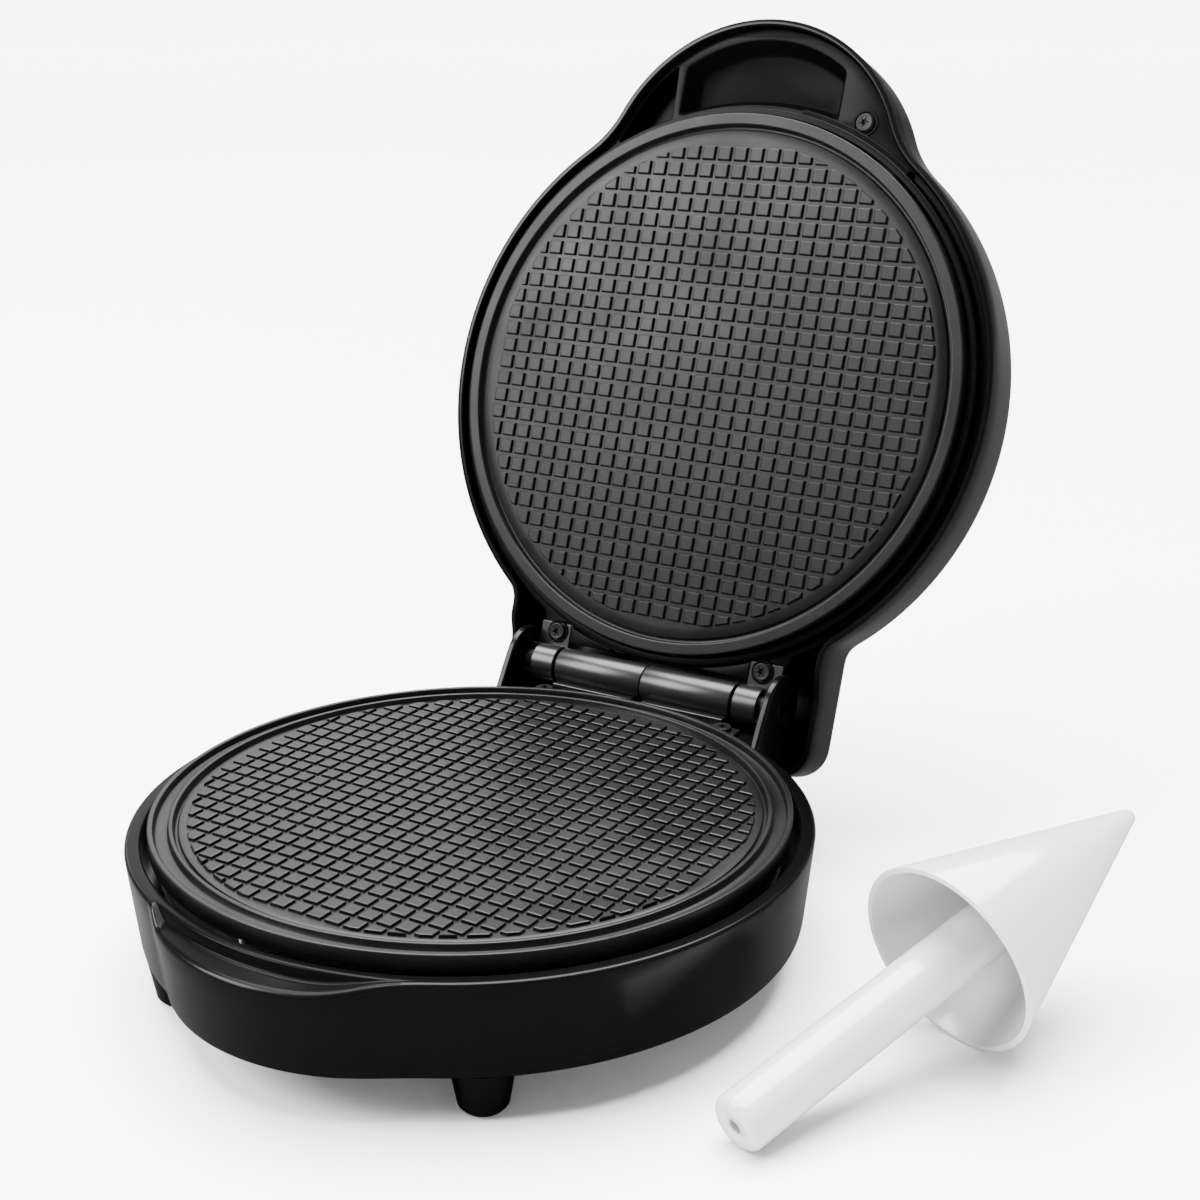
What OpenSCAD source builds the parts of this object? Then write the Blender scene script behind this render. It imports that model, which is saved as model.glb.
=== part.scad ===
// Waffle cone maker: a hinged pair of gridded hot plates in a low round body,
// stored open, with its cone roller lying beside it. Millimetres, Z up.
// X runs along the hinge, +Y points at the hinge, Z = 0 is the worktop.

/* [Body] */
// Outside diameter of the base and lid shells at the rim
shell_d = 220; // [200:1:240]
// Height of the base side wall, without the feet
base_h = 31; // [26:0.5:40]
// Height of the feet and pads below the side wall
foot_h = 15; // [10:0.5:20]
// Moulded wall thickness of both shells
wall = 2.4; // [1.8:0.1:3.2]
// Inward draft of the base wall from rim to bottom
base_draft = 3; // [1:0.5:5]
// How far the front grip stands out from the base wall
grip_out = 7; // [4:0.5:10]

/* [Plates] */
// Diameter of the gridded baking area
bake_d = 181; // [150:1:190]
// Distance from one grid square to the next
grid_pitch = 6.6; // [6:0.2:10]
// Width of the channel between grid squares
grid_gap = 1.6; // [1:0.1:2.5]
// Height of the grid squares
grid_h = 1.2; // [0.8:0.1:2]
// Height of the lower plate's rim above the base rim
plate_rise = 4.8; // [3:0.2:8]
// Gap between the two plate rims when closed
rim_gap = 0.5; // [0.3:0.1:1.5]

/* [Hinge] */
// Distance from the middle of the base to the hinge axis
hinge_y = 113; // [111:0.5:122]
// Height of the hinge axis above the lower plate's rim
hinge_up = 3.2; // [2:0.2:6]
// Outside diameter of the hinge barrels and knuckles
barrel_d = 14; // [11:0.5:16]
// Length of one half of the centre barrel
barrel_l = 36.8; // [28:0.1:38]
// Length of an end knuckle
knuckle_l = 13.5; // [8:0.5:15]
// Diameter of the hinge pin
pin_d = 5; // [4:0.25:6]
// Opening angle of the lid from closed
open_angle = 110; // [90:1:114]

/* [Lid] */
// Height of the lid shell from its rim to its top
lid_h = 31; // [25:0.5:36]
// Radius of the rounded edge of the lid
lid_round = 9; // [7:0.5:13]
// How far the handle tongue reaches from the middle of the lid
tongue_reach = 138; // [130:1:146]
// Radius of the end of the handle tongue
tongue_r = 62; // [50:1:70]
// Radius of the hollow curve from tongue to lid
tongue_fillet = 40; // [25:1:50]
// Depth of the finger pocket in the tongue
pocket_depth = 11; // [6:0.5:14]
// Outside width of the cowl over the hinge
cowl_w = 132; // [118:1:138]
// How far the cowl reaches behind the hinge axis
cowl_back = 24; // [22:0.5:30]

/* [Cone roller] */
// Diameter of the roller cone at its mouth
cone_d = 61.4; // [54:0.2:72]
// Length of the roller cone
cone_l = 88.5; // [78:0.5:110]
// Wall thickness of the cone
cone_wall = 1.6; // [1.2:0.1:2.4]
// Diameter of the roller handle
handle_d = 17.4; // [15:0.2:22]
// Length of handle outside the cone
handle_l = 86; // [70:1:110]

/* [Hidden] */
$fn = 96;
eps = 0.01;
run_fit = 0.05;            // pin in a turning knuckle, radial
seat_fit = 0.1;            // screw shank in its hole, radial
part_gap = 0.3;            // between neighbouring mouldings

rim_r = shell_d / 2;
shell_z0 = foot_h;
shell_z1 = foot_h + base_h;
shell_r0 = rim_r - base_draft;
rim_land = 5;              // flat top edge of the base shell
mouth_r = rim_r - rim_land;
edge_r = 1.2;              // moulded edge radius

plate_play = 2.3;          // dark gap round the lower plate
plate_r = mouth_r - plate_play;
rim_top = shell_z1 + plate_rise;
plate_t = 4.7;             // casting thickness under the grid
face_drop = 1.6;           // baking face below the plate rim
ridge_r = (plate_r + bake_d / 2) / 2 - 1.1;
ridge_w = 1.8;
groove_w = 1.4;
groove_d = 0.6;

ledge_drop = 9;            // screw ledge below the base rim
ledge_z = shell_z1 - ledge_drop;
ledge_w = 17;               // ledge that carries the plate, inside the mouth
ledge_r = mouth_r - ledge_w;
flange_r = ledge_r - 2;    // inside radius of a reflector's flange
sheet_t = 0.8;
pan_d = 6;                 // depth of a reflector's pan
screw_r = 1.5;
head_r = 3.4;
head_h = 2.2;
plate_screw_r = ledge_r + 0.35 * ledge_w;
plate_screw_a = [20, 140, 260];
boss_r = 4.2;

element_r = 60;
element_d = 7;

foot_r = 97;
foot_a = [-126, -54, 62, 118];   // the rear pair stands close under the open lid
foot_top_r = 9.8;
foot_low_r = 7.7;
pad_t = 2;
foot_bore = 4.2;
cover_t = 2.4;

grip_r = 75;
grip_edge = 2;             // rounded top edge of the front grip
grip_y = rim_r + grip_out - grip_r;

hinge_z = rim_top + hinge_up;
barrel_r = barrel_d / 2;
pin_r = pin_d / 2;
seam = 0.3;                // between the two barrel halves
knuckle_gap = 1.2;
ear_room = 0.8;            // lid to ear, all round
barrel_room = 1.2;         // lid to barrel, all round
knuckle_x = seam / 2 + barrel_l + knuckle_gap;
ear_x = knuckle_x + knuckle_l + ear_room;
ear_t = 3;
ear_r = 13;
deck_w = 2 * (ear_x + ear_t);
deck_y = rim_r - 4;
deck_y0 = deck_y - 18;       // front edge of the deck block, under the ledge
ear_y0 = deck_y - 14;        // front foot of an ear
strip_t = 2.4;
strip_y0 = 97;
strip_y1 = 104.4;
hinge_screw_x = 43.8;
base_screw_x = hinge_screw_x - 6;
hinge_screw_y = 100.6;
lug_a = 12;                // angle taken by a stop lug
stop_a0 = 90;              // where the stop notch starts, lid open
notch_a = open_angle + lug_a + 1;
notch_l = 4;
notch_d = 2.6;

lid_z0 = rim_top + rim_gap + plate_rise;
lid_z1 = lid_z0 + lid_h;
upper_z = rim_top + rim_gap;
upper_r = plate_r - 1.7;
trim_w = 2.8;
trim_r = upper_r + 0.6;
liner_z = lid_z0 + 3.4;
liner_t = 2;
flange_z = upper_z + 13;
tongue_y = tongue_reach - tongue_r;
cowl_round = 12;
cowl_z0 = hinge_z + 6;
cowl_y = hinge_y + cowl_back;
pocket_x = 33;
pocket_y0 = trim_r + trim_w + 2;
pocket_y1 = tongue_reach - 7;
side_x = pocket_x + 2.6;   // inner edge of the dip beside the pocket
side_depth = 8;
tab_x = ear_x - ear_room;  // half width of the liner's hinge tab
grip_screw = [44, -101];

handle_r = handle_d / 2;
cone_r = cone_d / 2;
roller_a = 70;             // direction of the roller on the worktop
roller_x = 156;
roller_y = 15.7;
roller_tilt = atan2(cone_r - handle_r, handle_l);
roller_z = cone_r * cos(roller_tilt);
socket_d = 30;             // grip of the cone's inner socket on the handle
hollow_l = cone_l * (1 - (handle_r + 2 * cone_wall) / cone_r);

// The whole set is centred on its own box in plan.
axis_x = cos(roller_a) * cos(roller_tilt);
set_x1 = roller_x + cone_r * sqrt(1 - axis_x * axis_x);
set_x0 = -rim_r;
set_y0 = -rim_r - grip_out;
top_dy = hinge_y + tongue_reach - lid_round;
top_dz = lid_z1 - lid_round - hinge_z;
set_y1 = hinge_y + lid_round - cos(open_angle) * top_dy + sin(open_angle) * top_dz;
origin_shift = [-(set_x0 + set_x1) / 2, -(set_y0 + set_y1) / 2, 0];

shell_black = [0.07, 0.07, 0.075];
plate_grey = [0.2, 0.2, 0.21];
steel = [0.6, 0.6, 0.62];
white = [0.93, 0.93, 0.93];

// ---------------------------------------------------------------- helpers
function arc(c, r, a0, a1, n) =
    [for (i = [0:n]) let (a = a0 + (a1 - a0) * i / n) [c[0] + r * cos(a), c[1] + r * sin(a)]];

module at_polar(r, angles, z = 0)
    for (a = angles) rotate([0, 0, a]) translate([r, 0, z]) children();

module both_sides() { children(); mirror([1, 0, 0]) children(); }

// Turns closed-lid geometry to its stored, open place.
module opened()
    translate([0, hinge_y, hinge_z]) rotate([-open_angle, 0, 0])
        translate([0, -hinge_y, -hinge_z]) children();

module along_x(x0, x1, r)
    translate([x0, hinge_y, hinge_z]) rotate([0, 90, 0]) cylinder(h = x1 - x0, r = r);

// Room for the fixed barrels and ears, the same at every lid angle.
module hinge_relief() {
    along_x(-ear_x - ear_t, ear_x + ear_t, barrel_r + barrel_room);
    both_sides() along_x(ear_x - ear_room, ear_x + ear_t + ear_room, ear_r + ear_room);
}

// Pan-head screw standing head down at z = 0, shank up.
module screw_up(shank) {
    translate([0, 0, -head_h]) difference() {
        rotate_extrude() polygon(concat([[0, 0]], arc([head_r - 1, 1], 1, -90, 0, 5),
            [[head_r, head_h], [0, head_h]]));
        for (a = [0, 90]) rotate([0, 0, a])
            translate([-head_r * 0.6, -0.45, -eps]) cube([head_r * 1.2, 0.9, 1.1]);
    }
    translate([0, 0, -eps]) cylinder(h = shank, r = screw_r);
}

// ---------------------------------------------------------------- base
module base_profile() polygon(concat(
    [[shell_r0 - wall, shell_z0], [shell_r0, shell_z0]],
    arc([rim_r - edge_r, shell_z1 - edge_r], edge_r, 0, 90, 6),
    arc([mouth_r + edge_r, shell_z1 - edge_r], edge_r, 90, 180, 6),
    [[mouth_r, ledge_z], [ledge_r, ledge_z], [ledge_r, ledge_z - wall],
     [rim_r - base_draft * ledge_drop / base_h - wall, ledge_z - wall]]));

module ear_side() union() {
    translate([hinge_y, hinge_z]) circle(r = ear_r);
    polygon([[ear_y0, shell_z0 + 14], [deck_y + 2, shell_z0 + 14], [hinge_y + 11, hinge_z - 7],
        [hinge_y, hinge_z], [hinge_y - 9.5, hinge_z + 9], [ear_y0, shell_z1]]);
}

module base_shell() color(shell_black) difference() {
    union() {
        rotate_extrude($fn = 180) base_profile();
        difference() {
            translate([0, -grip_y, 0]) rotate_extrude($fn = 120) polygon(concat(
                [[0, shell_z0], [grip_r - base_draft, shell_z0]],
                arc([grip_r - grip_edge, shell_z1 - grip_edge], grip_edge, 0, 90, 6),
                [[0, shell_z1]]));
            translate([0, 0, shell_z0]) cylinder(h = base_h + 1, r1 = shell_r0 - wall,
                r2 = rim_r - wall, $fn = 180);
        }
        difference() {
            union() {
                translate([-deck_w / 2 + eps, deck_y0, shell_z0 + 14])
                    cube([deck_w - 2 * eps, deck_y - deck_y0, base_h - 14]);
                both_sides() translate([ear_x, 0, 0]) rotate([90, 0, 90])
                    linear_extrude(ear_t) ear_side();
            }
            translate([-deck_w / 2 + ear_t, 80, shell_z0]) cube([deck_w - 2 * ear_t,
                deck_y - wall - 80, base_h - 3]);
        }
        both_sides() stop_lug();
        at_polar(foot_r, foot_a, shell_z0 + cover_t)
            cylinder(h = ledge_z - wall - shell_z0 - cover_t + eps, r = 4.2, $fn = 32);
        both_sides() translate([base_screw_x, hinge_screw_y, shell_z1 - 12])
            cylinder(h = 11, r = 3.4, $fn = 32);
    }
    translate([0, 0, ledge_z]) cylinder(h = 60, r = mouth_r, $fn = 180);
    at_polar(foot_r, foot_a, shell_z0) cylinder(h = 14, r = screw_r + seat_fit, $fn = 24);
    at_polar(plate_screw_r, plate_screw_a, ledge_z - wall - 1)
        cylinder(h = wall + 2, r = screw_r + seat_fit, $fn = 24);
    both_sides() translate([base_screw_x, hinge_screw_y, shell_z1 - 9])
        cylinder(h = 10, r = screw_r + seat_fit, $fn = 24);
    along_x(-deck_w, deck_w, pin_r);
    cord_way(6 + part_gap / 2);
}

// Lug on the inside of an ear that stops the open lid.
module stop_lug() translate([ear_x - notch_l + 0.4, hinge_y, hinge_z]) rotate([0, 90, 0])
    rotate([0, 0, 90]) rotate([0, 0, stop_a0 + open_angle + 0.5])
        rotate_extrude(angle = lug_a, $fn = 96)
            translate([barrel_r - notch_d + 0.4, 0]) square([notch_d - 0.8, notch_l]);

module cord_way(r) rotate([0, 0, 142]) translate([rim_r - 14, 0, shell_z0 + 11])
    rotate([0, 90, 0]) cylinder(h = 22, r = r, $fn = 48);

module cord_bushing() color(shell_black) rotate([0, 0, 142])
    translate([rim_r - 14, 0, shell_z0 + 11]) rotate([0, 90, 0]) difference() {
        union() {
            cylinder(h = 14, r = 6, $fn = 48);
            translate([0, 0, 7]) cylinder(h = 2, r = 8, $fn = 48);
            translate([0, 0, 14 - eps]) cylinder(h = 9, r1 = 6, r2 = 4.6, $fn = 48);
        }
        translate([0, 0, -1]) cylinder(h = 26, r = 3.4, $fn = 32);
    }

module bottom_cover() color(shell_black) difference() {
    translate([0, 0, shell_z0]) cylinder(h = cover_t, r = shell_r0 - wall - part_gap, $fn = 180);
    at_polar(foot_r, foot_a, shell_z0 - 1) cylinder(h = 10, r = screw_r + seat_fit, $fn = 24);
    for (row = [-1, 1], i = [-4:4])
        translate([i * 9 - 2, row * 34 - 12, shell_z0 - 1]) cube([4, 24, 5]);
}

module feet() color(shell_black) at_polar(foot_r, foot_a, pad_t) difference() {
    cylinder(h = foot_h - pad_t, r1 = foot_low_r, r2 = foot_top_r, $fn = 48);
    translate([0, 0, -1]) cylinder(h = foot_h - pad_t - 3, r = foot_bore, $fn = 32);
    cylinder(h = foot_h, r = screw_r + seat_fit, $fn = 24);
}

module foot_pads() color([0.11, 0.11, 0.11]) at_polar(foot_r, foot_a)
    rotate_extrude($fn = 48) polygon([[0, 0], [foot_low_r - 1.2, 0], [foot_low_r - 0.5, 0.7],
        [foot_low_r - 0.2, pad_t], [0, pad_t]]);

module cover_screws() color(steel) at_polar(foot_r, foot_a, foot_h - 4)
    screw_up(14, $fn = 24);

// Casting seen with its baking face up at z = 0, rim ridge toward +Z.
module plate_casting(r, ridged) difference() {
    union() {
        rotate_extrude($fn = 180) polygon(concat(
            [[0, -face_drop - plate_t], [r - 0.7, -face_drop - plate_t], [r, -face_drop - plate_t + 0.7],
             [r, -0.5], [r - 0.5, 0], [r - 2.2, 0], [r - 2.7, -1]],
            ridged
              ? [[ridge_r + ridge_w / 2 + 0.5, -1], [ridge_r + ridge_w / 2, 0],
                 [ridge_r - ridge_w / 2, 0], [ridge_r - ridge_w / 2 - 0.4, -face_drop - groove_d],
                 [ridge_r - ridge_w / 2 - groove_w, -face_drop - groove_d]]
              : [[ridge_r + ridge_w / 2 + 0.9, -1], [ridge_r + ridge_w / 2 + 0.4, -face_drop],
                 [ridge_r - ridge_w / 2 - 0.4, -face_drop], [ridge_r - ridge_w / 2 - 0.8, -1],
                 [ridge_r - ridge_w / 2 - groove_w + 0.5, -1]],
            [[ridge_r - ridge_w / 2 - groove_w - 0.4, -face_drop], [0, -face_drop]]));
        translate([0, 0, -face_drop - eps]) linear_extrude(grid_h + eps) grid_squares();
    }
    translate([0, 0, -face_drop - plate_t - eps]) rotate_extrude($fn = 120)
        translate([element_r, 0]) circle(r = element_d / 2 + 0.05, $fn = 32);
}

module grid_squares() {
    n = ceil(bake_d / 2 / grid_pitch);
    side = grid_pitch - grid_gap;
    intersection() {
        circle(r = bake_d / 2, $fn = 180);
        for (i = [-n:n], j = [-n:n])
            if (norm([abs(i) * grid_pitch - side / 2, abs(j) * grid_pitch - side / 2])
                    < bake_d / 2 - 1)
                translate([i * grid_pitch, j * grid_pitch]) square(side, center = true);
    }
}

module plate_bosses(len) at_polar(plate_screw_r, plate_screw_a, -face_drop - plate_t - len)
    difference() {
        cylinder(h = len + eps, r = boss_r, $fn = 32);
        translate([0, 0, -1]) cylinder(h = 8, r = screw_r + seat_fit, $fn = 24);
    }

module lower_plate() color(plate_grey) translate([0, 0, rim_top]) {
    plate_casting(plate_r, true);
    plate_bosses(rim_top - face_drop - plate_t - ledge_z - sheet_t);
}

module reflector() difference() {
    rotate_extrude($fn = 120) polygon([[0, -pan_d], [flange_r - 4, -pan_d], [flange_r, -sheet_t],
        [plate_screw_r + 6, -sheet_t], [plate_screw_r + 6, 0], [flange_r - 0.4, 0],
        [flange_r - 4.4, -pan_d + sheet_t], [0, -pan_d + sheet_t]]);
    at_polar(plate_screw_r, plate_screw_a, -2) cylinder(h = 4, r = screw_r + seat_fit, $fn = 24);
}

module lower_reflector() color(steel) translate([0, 0, ledge_z + sheet_t]) reflector();

module lower_plate_screws() color(steel) at_polar(plate_screw_r, plate_screw_a, ledge_z - wall)
    screw_up(9, $fn = 24);

// Tubular heater: an open ring with two terminal legs.
module element_ring() {
    rotate([0, 0, -70]) rotate_extrude(angle = 320, $fn = 120)
        translate([element_r, 0]) circle(r = element_d / 2, $fn = 24);
}

module lower_element() color(steel) translate([0, 0, rim_top - face_drop - plate_t]) element_ring();

module thermostat() color([0.75, 0.72, 0.6]) translate([18, 0, rim_top - face_drop - plate_t]) {
    translate([0, 0, -3.5]) cylinder(h = 3.5, r = 8, $fn = 48);
    translate([-9, -4, -2]) cube([18, 8, 1]);
}

module thermal_fuse() color([0.85, 0.85, 0.85]) translate([-22, 10, rim_top - face_drop - plate_t - 1.9])
    rotate([0, 90, 0]) cylinder(h = 14, r = 1.9, $fn = 32);

module terminal_block() color(white) translate([-60, 36, shell_z0 + cover_t]) difference() {
    cube([24, 12, 9]);
    for (i = [0:2]) translate([4 + i * 8, 6, 3]) cylinder(h = 8, r = 2, $fn = 24);
}

// ---------------------------------------------------------------- hinge
module barrel_half() difference() {
    union() {
        along_x(seam / 2, seam / 2 + barrel_l, barrel_r);
        translate([2, strip_y1 - 1, shell_z1]) cube([barrel_l - 3, hinge_y - strip_y1 + 2,
            hinge_z - shell_z1 - pin_r - 1]);
        translate([8, strip_y0, shell_z1]) cube([base_screw_x - 2.4, strip_y1 - strip_y0, strip_t]);
    }
    along_x(-1, barrel_l + 2, pin_r + run_fit);
    translate([base_screw_x, hinge_screw_y, shell_z1 - 1])
        cylinder(h = strip_t + 2, r = screw_r + seat_fit, $fn = 24);
    translate([0, 0, shell_z1 - 1]) cylinder(h = 6, r = plate_r + 0.5, $fn = 180);
}

module base_barrel_right() color(shell_black) barrel_half();
module base_barrel_left() color(shell_black) mirror([1, 0, 0]) barrel_half();

module base_hinge_screws() color(steel) both_sides()
    translate([base_screw_x, hinge_screw_y, shell_z1 + strip_t])
        rotate([180, 0, 0]) screw_up(9, $fn = 24);

module hinge_pin() color(steel) along_x(-ear_x - ear_t, ear_x + ear_t, pin_r);

module knuckle() difference() {
    union() {
        along_x(knuckle_x, knuckle_x + knuckle_l, barrel_r);
        translate([knuckle_x, strip_y0, liner_z - strip_t])
            cube([knuckle_l, hinge_y - strip_y0, strip_t]);
    }
    along_x(knuckle_x - 1, knuckle_x + knuckle_l + 1, pin_r + run_fit);
    translate([hinge_screw_x, hinge_screw_y, liner_z - strip_t - 1])
        cylinder(h = strip_t + 2, r = screw_r + seat_fit, $fn = 24);
    translate([knuckle_x + knuckle_l - notch_l, hinge_y, hinge_z]) rotate([0, 90, 0])
        rotate([0, 0, 90]) rotate([0, 0, stop_a0 + open_angle])
            rotate_extrude(angle = notch_a, $fn = 96)
                translate([barrel_r - notch_d, 0]) square([notch_d + 1, notch_l + 1]);
}

module lid_knuckle_right() color(shell_black) opened() knuckle();
module lid_knuckle_left() color(shell_black) opened() mirror([1, 0, 0]) knuckle();

module lid_hinge_screws() color(steel) opened() both_sides()
    translate([hinge_screw_x, hinge_screw_y, liner_z - strip_t]) screw_up(9, $fn = 24);

// ---------------------------------------------------------------- lid
// Centre of a hollow curve tangent to the lid disc and the tongue.
fillet_c = let (a = rim_r + tongue_fillet, b = tongue_r + tongue_fillet,
    ca = (a * a + tongue_y * tongue_y - b * b) / (2 * a * tongue_y))
    [a * sqrt(1 - ca * ca), -a * ca];

module lid_disc(r, z0, z1, rr) rotate_extrude($fn = 180) polygon(concat(
    [[0, z0], [r, z0]], arc([r - rr, z1 - rr], rr, 0, 90, 10), [[0, z1]]));

// Outer form of the lid, or its hollow when in is the wall.
module lid_form(in, z0) {
    z1 = lid_z1 - in;
    rr = lid_round - in;
    lid_disc(rim_r - in, z0, z1, rr);
    translate([0, -tongue_y, 0]) lid_disc(tongue_r - in, z0, z1, rr);
    difference() {
        translate([0, 0, z0]) linear_extrude(z1 - z0)
            polygon([[0, 0], [fillet_c[0], fillet_c[1]], [0, -tongue_y - 10],
                [-fillet_c[0], fillet_c[1]]]);
        both_sides() translate([fillet_c[0], fillet_c[1], 0]) rotate_extrude($fn = 120)
            polygon(concat([[0, z0 - 1], [tongue_fillet + in, z0 - 1]],
                arc([tongue_fillet + in + rr, z1 - rr], rr, 180, 90, 10), [[0, z1 + 1]]));
    }
    cowl_form(in, z0);
}

module cowl_form(in, z0) {
    x = cowl_w / 2 - cowl_round;
    y = cowl_y - cowl_round;
    r = cowl_round - in;
    z = lid_z1 - cowl_round;
    y0 = 70;
    translate([-x - r, y0, z0]) cube([2 * (x + r), y - y0, z - z0]);
    translate([-x, y0, z0]) cube([2 * x, y + r - y0, z - z0]);
    translate([-x, y0, z0]) cube([2 * x, y - y0, z + r - z0]);
    translate([-x, y, z]) rotate([0, 90, 0]) cylinder(h = 2 * x, r = r, $fn = 64);
    both_sides() {
        translate([x, y, z0]) cylinder(h = z - z0, r = r, $fn = 64);
        translate([x, y0, z]) rotate([-90, 0, 0]) cylinder(h = y - y0, r = r, $fn = 64);
        translate([x, y, z]) sphere(r = r, $fn = 64);
    }
}

module lid_shell() color(shell_black) opened() {
    difference() {
        lid_form(0, lid_z0);
        difference() {
            lid_form(wall, lid_z0 - 1);
            both_sides() translate([hinge_screw_x, hinge_screw_y, liner_z + liner_t])
                cylinder(h = 40, r = 4.2, $fn = 32);
            translate([grip_screw[0], grip_screw[1], liner_z + liner_t])
                cylinder(h = 40, r = 4.2, $fn = 32);
        }
        translate([-cowl_w, rim_r - 8, lid_z0 - 1]) cube([2 * cowl_w, 60, cowl_z0 - lid_z0 + 1]);
        hinge_relief();
        both_sides() translate([hinge_screw_x, hinge_screw_y, liner_z])
            cylinder(h = 9, r = screw_r + seat_fit, $fn = 24);
        translate([grip_screw[0], grip_screw[1], liner_z])
            cylinder(h = 9, r = screw_r + seat_fit, $fn = 24);
    }
}

// Flat outline of the lid, drawn in by in, without the cowl.
module lid_outline(in) {
    circle(r = rim_r - in, $fn = 180);
    translate([0, -tongue_y]) circle(r = tongue_r - in, $fn = 120);
    difference() {
        polygon([[0, 0], [fillet_c[0], fillet_c[1]], [0, -tongue_y - 10], [-fillet_c[0], fillet_c[1]]]);
        for (s = [-1, 1]) translate([s * fillet_c[0], fillet_c[1]])
            circle(r = tongue_fillet + in, $fn = 120);
    }
}

module pocket_outline(in) intersection() {
    translate([-pocket_x + in, -pocket_y1]) square([2 * (pocket_x - in), pocket_y1 - 90]);
    difference() {
        translate([0, -tongue_y]) circle(r = pocket_y1 - tongue_y - in, $fn = 120);
        circle(r = pocket_y0 + in, $fn = 180);
    }
}

// Sunk corner of the liner beside the finger pocket.
module side_outline(in) intersection() {
    lid_outline(wall + part_gap + 1.6 + in);
    difference() {
        translate([-tongue_reach, -tongue_reach]) square([tongue_reach - side_x - in, tongue_reach]);
        circle(r = pocket_y0 + in, $fn = 180);
    }
}

module lid_liner() color(shell_black) opened() difference() {
    union() {
        translate([0, 0, liner_z]) linear_extrude(liner_t) difference() {
            union() {
                intersection() {
                    lid_outline(wall + part_gap);
                    translate([-200, -200]) square([400, 200 + strip_y1]);
                }
                translate([-tab_x, 0]) square([2 * tab_x, strip_y1]);
            }
            circle(r = trim_r, $fn = 180);
        }
        translate([0, 0, lid_z0 - 0.6]) linear_extrude(flange_z + liner_t - lid_z0 + 0.6) difference() {
            circle(r = trim_r + trim_w, $fn = 180);
            circle(r = trim_r, $fn = 180);
        }
        translate([0, 0, flange_z]) linear_extrude(liner_t) difference() {
            circle(r = trim_r + 1, $fn = 180);
            circle(r = ledge_r, $fn = 180);
        }
        translate([0, 0, liner_z]) linear_extrude(pocket_depth + liner_t) pocket_outline(-liner_t);
        translate([0, 0, liner_z]) linear_extrude(side_depth + liner_t) side_outline(-1.5);
    }
    translate([0, 0, liner_z - 1]) linear_extrude(side_depth + 1) side_outline(0);
    translate([0, 0, liner_z - 1]) linear_extrude(pocket_depth + 1) pocket_outline(0);
    hinge_relief();
    both_sides() translate([knuckle_x, strip_y0, liner_z - strip_t])
        cube([knuckle_l, 10, strip_t]);
    both_sides() translate([hinge_screw_x, hinge_screw_y, liner_z - 1])
        cylinder(h = 5, r = screw_r + seat_fit, $fn = 24);
    translate([grip_screw[0], grip_screw[1], liner_z - 1])
        cylinder(h = 5, r = screw_r + seat_fit, $fn = 24);
    at_polar(plate_screw_r, plate_screw_a, flange_z - 1)
        cylinder(h = liner_t + 2, r = screw_r + seat_fit, $fn = 24);
}

module grip_screw_up() color(steel) opened() translate([grip_screw[0], grip_screw[1], liner_z])
    screw_up(9, $fn = 24);

module upper_plate() color(plate_grey) opened() translate([0, 0, upper_z]) mirror([0, 0, 1]) {
    plate_casting(upper_r, false);
    plate_bosses(flange_z - upper_z - face_drop - plate_t - sheet_t);
}

module upper_reflector() color(steel) opened() translate([0, 0, flange_z - sheet_t])
    mirror([0, 0, 1]) reflector();

module upper_plate_screws() color(steel) opened() at_polar(plate_screw_r, plate_screw_a, flange_z + liner_t)
    rotate([180, 0, 0]) screw_up(8, $fn = 24);

module upper_element() color(steel) opened()
    translate([0, 0, upper_z + face_drop + plate_t]) element_ring();

// ---------------------------------------------------------------- roller
// Draws with the mouth centre at the origin and the tip along +Z.
module rolled() translate([roller_x, roller_y, roller_z])
    rotate([0, 0, roller_a]) rotate([0, 90 - roller_tilt, 0]) children();

module roller_cone() color(white) rolled() difference() {
    rotate_extrude($fn = 120) polygon(concat(
        [[0, 0], [cone_r - 0.6, 0], [cone_r, 0.6], [cone_r, 1.6]],
        arc([0, cone_l - 2.2], 2.2, 20, 90, 6)));
    difference() {
        translate([0, 0, -1]) cylinder(h = cone_l - 5, r1 = (cone_r - cone_wall) * (1 + 1 / cone_l),
            r2 = (cone_r - cone_wall) * 5 / cone_l - 0.6, $fn = 120);
        translate([0, 0, hollow_l]) cylinder(h = cone_l, r = cone_r, $fn = 96);
    }
    translate([0, 0, -1]) cylinder(h = hollow_l + 1, r = handle_r + 0.02, $fn = 64);
}

module roller_handle() color(white) rolled() difference() {
    rotate_extrude($fn = 96) polygon(concat([[0, -handle_l]],
        arc([handle_r - 2.5, -handle_l + 2.5], 2.5, -90, 0, 6), [[handle_r, hollow_l], [0, hollow_l]]));
    translate([0, 0, -handle_l - 1]) cylinder(h = 26, r = 2, $fn = 32);
}

// ---------------------------------------------------------------- output

translate(origin_shift) {
    base_shell();
    bottom_cover();
    feet();
    foot_pads();
    cover_screws();
    cord_bushing();
    lower_plate();
    lower_plate_screws();
    lower_reflector();
    lower_element();
    thermostat();
    thermal_fuse();
    terminal_block();
    base_barrel_left();
    base_barrel_right();
    base_hinge_screws();
    hinge_pin();
    lid_knuckle_left();
    lid_knuckle_right();
    lid_hinge_screws();
    lid_shell();
    lid_liner();
    grip_screw_up();  // grip_screw
    upper_plate();
    upper_plate_screws();
    upper_reflector();
    upper_element();
    roller_cone();
    roller_handle();
}
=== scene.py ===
import bpy, bmesh, math
from mathutils import Matrix, Vector


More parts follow.
